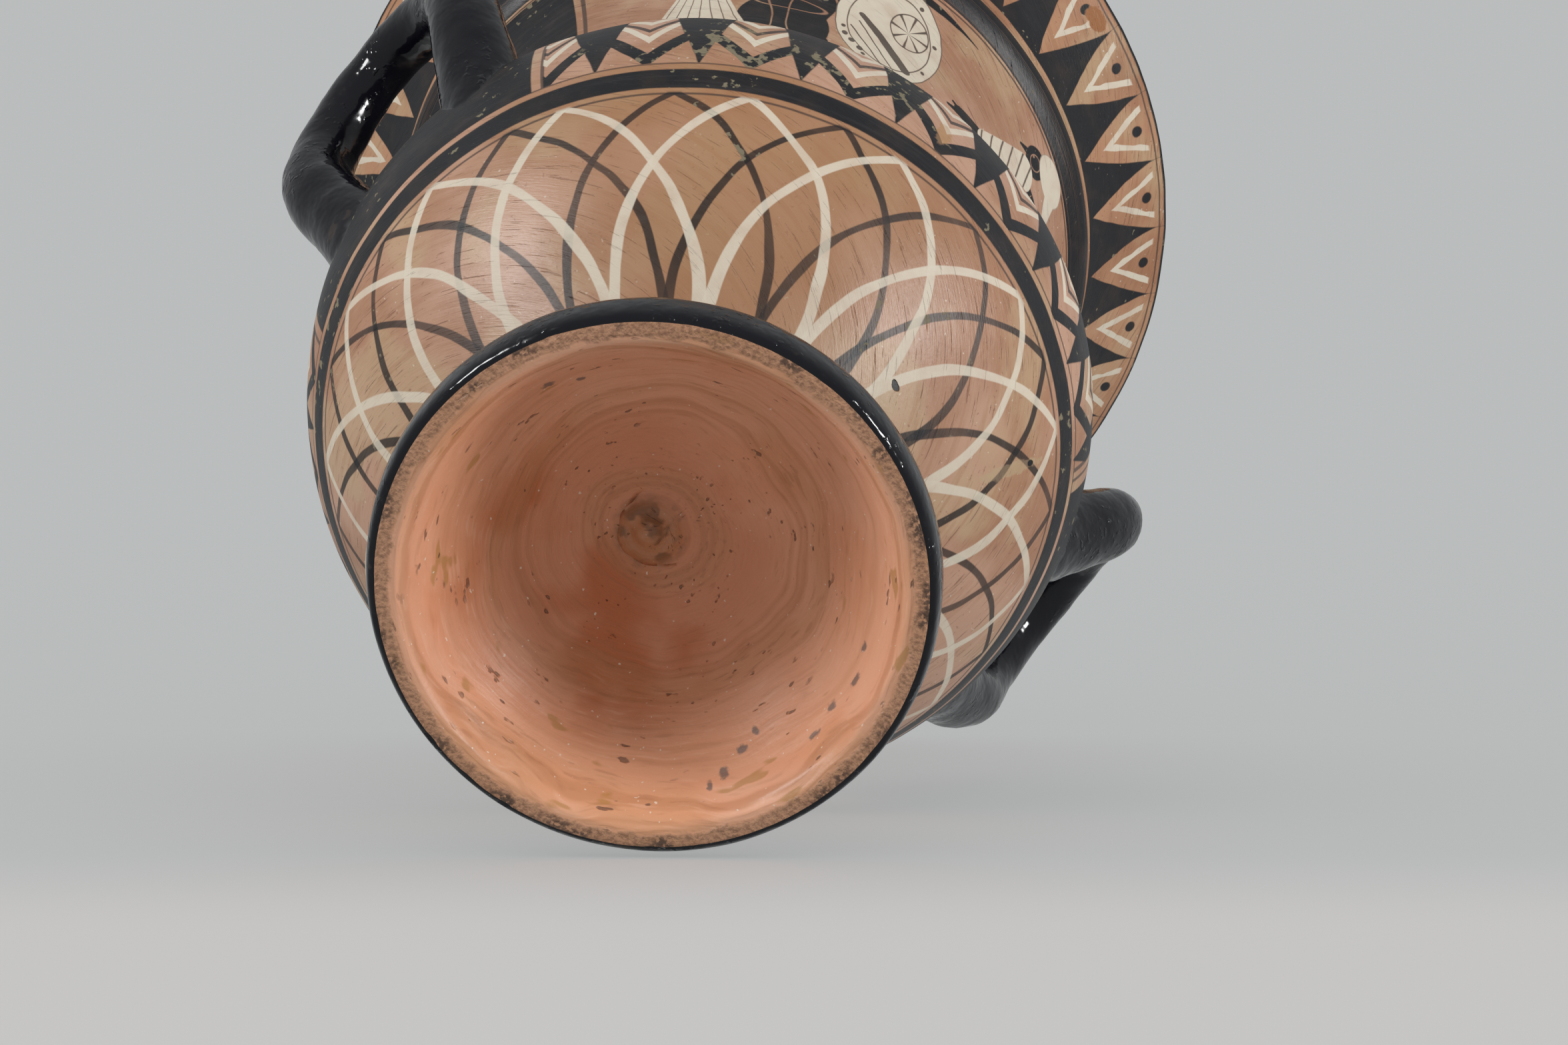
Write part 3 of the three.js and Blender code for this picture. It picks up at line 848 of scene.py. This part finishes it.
def smudge(place, azimuth, radius, turned, far, reach, rise):
    """A dark mark at an azimuth and radius of the hollow, longer the way the wheel turned."""
    aside = near(azimuth, turned, 180.0) * (far / DEGREES / reach)
    apart = (radius - far) * (1 / rise)
    ragged = clouds(place, 0.0022, 3) * 1.8
    return above((aside * aside + apart * apart).math("SQRT"), ragged + 0.25, ragged - 0.4)


def bare_underside():
    material, place, azimuth, height, radius = fresh_material("underside")
    inner = above(radius, HUB_LEFT, HUB_MOVED)
    off_axis = place.node("VectorMath", {"operation": "SCALE"}, {0: tuple(HUB_OFF_AXIS), "Scale": inner})
    centred = place.vector("SUBTRACT", off_axis)
    radius = (centred * (1, 1, 0)).vector("LENGTH", out="Value") * (1 / MM)
    wander = clouds(place, 0.05, 2) * 14
    swept = radius + wander
    rings = clouds(place.node("CombineXYZ", None, {"X": swept * MM, "Z": height * 0.0002}), 0.004, 3)
    broad = clouds(place.node("CombineXYZ", None, {"X": (swept + wander) * MM, "Y": wander * 0.001}), 0.02, 2)
    turning = near(azimuth, UNROLLED_FROM, 180.0) * MM
    hairs = clouds(place.node("CombineXYZ", None, {"X": swept * MM, "Y": turning * 0.10}), 0.0012, 3)
    # Darker and more orange towards the middle of the hollow, round a point a little off the axis.
    from_darker_middle = (centred * (1, 1, 0)).vector("DISTANCE", DARKER_MIDDLE_AT, out="Value") * (1 / MM)
    middle = above(from_darker_middle + (clouds(place, 0.045, 3) - 0.5) * 50, 68, 38)
    scorched = above(clouds(place, 0.05, 3), 0.42, 0.58)
    colour = coat(SALMON, scorched * 0.45, ORANGE)
    colour = coat(colour, middle * (0.45 + scorched * 0.5), DARKER_MIDDLE_TONE)
    colour = coat(colour, above(broad, 0.45, 0.65) * 0.35, BROAD_BAND)
    colour = coat(colour, above(rings, 0.5, 0.68) * 0.4, THROWN_BAND)
    colour = coat(colour, above(hairs, 0.54, 0.68) * above(broad, 0.35, 0.6) * 0.35, DARK_HAIR)
    colour = coat(colour, above(hairs, 0.44, 0.30) * above(radius, 40, 70) * 0.3, PALE_HAIR)
    along = place.node("CombineXYZ", None, {"X": radius * 0.0014, "Y": turning * 0.6, "Z": height * MM})
    ochre = above(clouds(along, 0.009, 2), 0.64, 0.70) * above(radius, 62, 68)
    colour = coat(colour, ochre * 0.6, OCHRE)
    nicks = above(clouds(along, 0.0036, 2), 0.66, 0.73) * above(clouds(place, 0.022, 2), 0.45, 0.56)
    colour = coat(colour, nicks * 0.7, NICKED)
    for spot in SMUDGES:
        colour = coat(colour, smudge(place, azimuth, radius, *spot) * 0.75, SMUDGED)
    dust = above(clouds(place, 0.0018, 1), 0.75, 0.78)
    colour = coat(colour, dust * 0.7, DUSTY)
    # Painted shade: the hub at the bottom of the hollow is darkened, with darker patches in the crevices between its
    # lumps.
    hub = above(radius, 16, 8)
    colour = coat(colour, hub * 0.55, HUB_PAINTED_SHADE)
    colour = coat(colour, hub * above(clouds(place, 0.007, 2), 0.45, 0.6) * 0.7, HUB_SHADE)
    ring = above(radius + (clouds(place, 0.006, 3) - 0.5) * 6, 88.3, 90.5)
    gritty = clouds(place, 0.0018, 3)
    colour = coat(colour, ring * 0.65, RING_CLAY)
    colour = coat(colour, ring * above(gritty, 0.46, 0.62) * 0.45, RING_GRIT)
    stained = above(clouds(place, 0.022, 2), 0.50, 0.60)
    stain = above(radius + (clouds(place, 0.009, 3) - 0.5) * 9, 90, 92.5) * stained
    colour = coat(colour, stain * above(gritty, 0.38, 0.52) * 0.75, RING_STAIN)
    relief = rings * 0.8 + hairs * 0.25 + gritty * (ring * 2 + 0.2) - nicks * 0.9
    return fire(material, place, colour, 0.50 - rings * 0.14, relief, 0.5)


# The black foot edge, stem and handles: the same slip laid on thick, so that it is glossy, gathers in lumps and
# beads, and wears to a thin brownish black here and there.
THICK_SLIP, THIN_SLIP = (0.0055, 0.0055, 0.0085, 1), (0.05, 0.034, 0.026, 1)


def thick_black():
    material, place, *_ = fresh_material("black_slip")
    relief = black_slip(place, (1, 1, 8))[1]
    lumps = clouds(place, 0.009, 2)
    beads = above(clouds(place, 0.0028, 1), 0.55, 0.75) * above(clouds(place, 0.028, 2), 0.52, 0.60)
    dull = above(clouds(place, 0.03, 3), 0.48, 0.62)
    worn = above(clouds(place, 0.014, 3) + clouds(place, 0.08, 1) * 0.4, 0.88, 0.94)
    colour = coat(THICK_SLIP, worn * 0.5, THIN_SLIP)
    surface = relief * 0.15 + lumps * 0.9 + beads * 0.35
    return fire(material, place, colour, 0.10 + dull * 0.16 + worn * 0.25, surface, 0.8, gloss=0.34)


# The inside: bare clay with the marks of throwing, plainer than the outside, and the black of the rim carried
# over the edge of the lip.
INNER_CLAY, INNER_DEEP = (0.52, 0.27, 0.16, 1), (0.36, 0.16, 0.085, 1)
INNER_BORDER = 478, 480


def bare_inside():
    material, place, azimuth, height, _ = fresh_material("inside")
    clay_colour, relief = buff_clay(place, azimuth, INNER_CLAY, INNER_DEEP)
    rings = clouds(place, 0.006, 2, (0.1, 0.1, 1))
    none = height * 0
    black = above(height + clouds(place, 0.02, 2) * 2, *INNER_BORDER)
    return slipped(material, place, clay_colour, relief + rings * 0.8, black, none, none)


finishes = [
    finish() for finish in (
        bare_underside, thick_black, belly_painting, shoulder_painting, frieze_painting, mouth_painting, bare_inside
    )
]
while len(krater.data.materials) < len(finishes):
    krater.data.materials.append(None)
for place, finish in enumerate(finishes):
    krater.data.materials[place] = finish
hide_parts("krater")
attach(krater, "root")

# The room: a pale floor under the standing vase, and the pale table top that the tipped vase's foot stood on. Each
# shows only from its upper side, because in the tipped view the eye is below the vase's own floor.
TABLE_UP = Vector((-0.715, 0.637, 0.289)).normalized()
TABLE_TOUCH = Vector((0.0731, -0.0653, 0))
TOWARDS_EYE = Vector((-0.2813, 0.1673, -0.9449))
ROOM_COLOUR, ROOM_LIGHT = (0.495, 0.508, 0.510, 1), 0.78
# The front colour is painted light: a brighter glow on the part of each sheet nearest the eye.
FLOOR_COLOUR, FRONT_PAINTED_LIGHT = (0.985, 0.98, 0.975, 1), (0.60, 0.59, 0.58, 1)
SHEET_REACH = 4.0


def pale_floor(name, touch, up, towards, own_light):
    """A round sheet that is lit by the room, glows by its own share and has painted light, a little brighter towards
    the eye.
    """
    sheet = bmesh.new()
    bmesh.ops.create_circle(sheet, cap_ends=True, segments=96, radius=SHEET_REACH)
    turn = up.to_track_quat("Z", "Y").to_matrix().to_4x4()
    bmesh.ops.transform(sheet, verts=sheet.verts, matrix=Matrix.Translation(touch) @ turn)
    floor = as_object(name, sheet)
    material = bpy.data.materials.new(name)
    material.use_nodes = True
    material.node_tree.nodes.clear()
    place = Flow(material.node_tree).node("TexCoord", out="Object")
    away = place.vector("DISTANCE", tuple(touch), out="Value")
    behind = place.node("NewGeometry", out="Backfacing")
    shown = above(away, SHEET_REACH * 0.98, SHEET_REACH * 0.3) * (1 - behind)
    foremost = touch.dot(towards)
    # Painted light: the sheet glows brighter towards the eye, like a pool of light on its front.
    front_light_share = above(place.vector("DOT_PRODUCT", tuple(towards), out="Value"), foremost - 0.03, foremost + 0.2)
    matt = place.node("BsdfDiffuse", None, {"Color": FLOOR_COLOUR})
    makes_up = (1 - (1 - own_light) * ROOM_LIGHT) / own_light
    dim = place.node("Emission", None, {"Color": ROOM_COLOUR, "Strength": makes_up})
    painted_front_light = place.node("Emission", None, {"Color": FRONT_PAINTED_LIGHT, "Strength": makes_up})
    glow = place.node("MixShader", None, {0: front_light_share, 1: dim, 2: painted_front_light})
    lit = place.node("MixShader", None, {0: own_light, 1: matt, 2: glow})
    clear = place.node("BsdfTransparent")
    place.node("OutputMaterial", None, {"Surface": place.node("MixShader", None, {0: shown, 1: clear, 2: lit})})
    floor.data.materials.append(material)
    for ray in ("visible_diffuse", "visible_glossy", "visible_transmission", "visible_shadow"):
        setattr(floor, ray, False)


pale_floor("floor", Vector((0, 0, 0)), Vector((0, 0, 1)), Vector((0, 0, -1)), 0.3)
pale_floor("table", TABLE_TOUCH, TABLE_UP, TOWARDS_EYE, 0.6)

world = bpy.data.worlds.new("room")
world.use_nodes = True
world.node_tree.nodes.clear()
seen = Flow(world.node_tree).node("LightPath", out="Is Camera Ray")
glow = seen.node("Background", None, {"Color": ROOM_COLOUR, "Strength": ROOM_LIGHT})
wall = seen.node("Background", None, {"Color": ROOM_COLOUR, "Strength": 1.0})
seen.node("OutputWorld", None, {"Surface": seen.node("MixShader", None, {0: seen, 1: glow, 2: wall})})
bpy.context.scene.world = world

# The lights and the eye: big soft lamps, and a long lens aimed up at the foot.
EYE = Vector((-0.4581, 0.2259, -1.3769))
EYE_RIGHT = Vector((-0.65014, -0.75748, 0.05948))
EYE_UP = Vector((-0.70581, 0.63107, 0.32185))
EYE_AHEAD = Vector((0.28133, -0.16726, 0.94492))
MIDDLE = Vector((0, 0, 0.2))
LAMP_DISTANCE = 1.7
LAMPS = [
    ("left", (-0.76, 0.50, -0.44), 0.45, 15),
    ("right", (0.84, 0.26, -0.46), 0.36, 15),
]
lit_by_lamps = bpy.data.collections.new("lit_by_lamps")
lit_by_lamps.objects.link(krater)


def soft_lamp(name, place, size, power):
    """A round lamp at a place, aimed at the middle of the vase."""
    lamp = bpy.data.lights.new(name, "AREA")
    lamp.shape = "DISK"
    lamp.size = size
    lamp.energy = power
    hung = bpy.data.objects.new(name, lamp)
    hung.location = place
    hung.rotation_euler = (MIDDLE - Vector(place)).to_track_quat("-Z", "Y").to_euler()
    hung.visible_camera = False
    bpy.context.scene.collection.objects.link(hung)
    hung.light_linking.receiver_collection = lit_by_lamps


for name, (right, up, ahead), size, power in LAMPS:
    aside = EYE_RIGHT * right + EYE_UP * up + EYE_AHEAD * ahead
    soft_lamp(name, MIDDLE + LAMP_DISTANCE * aside, size, power)
soft_lamp("beside", (1.5, -1.2, 0.5), 1.4, 2)

eye = bpy.data.cameras.new("eye")
eye.lens = 100
eye.sensor_width = 36
eye.clip_start, eye.clip_end = 0.05, 60
camera = bpy.data.objects.new("eye", eye)
turn = Matrix((EYE_RIGHT, EYE_UP, -EYE_AHEAD)).transposed().to_4x4()
camera.matrix_world = Matrix.Translation(EYE) @ turn
bpy.context.scene.collection.objects.link(camera)
bpy.context.scene.camera = camera
bpy.context.scene.view_settings.view_transform = "Standard"
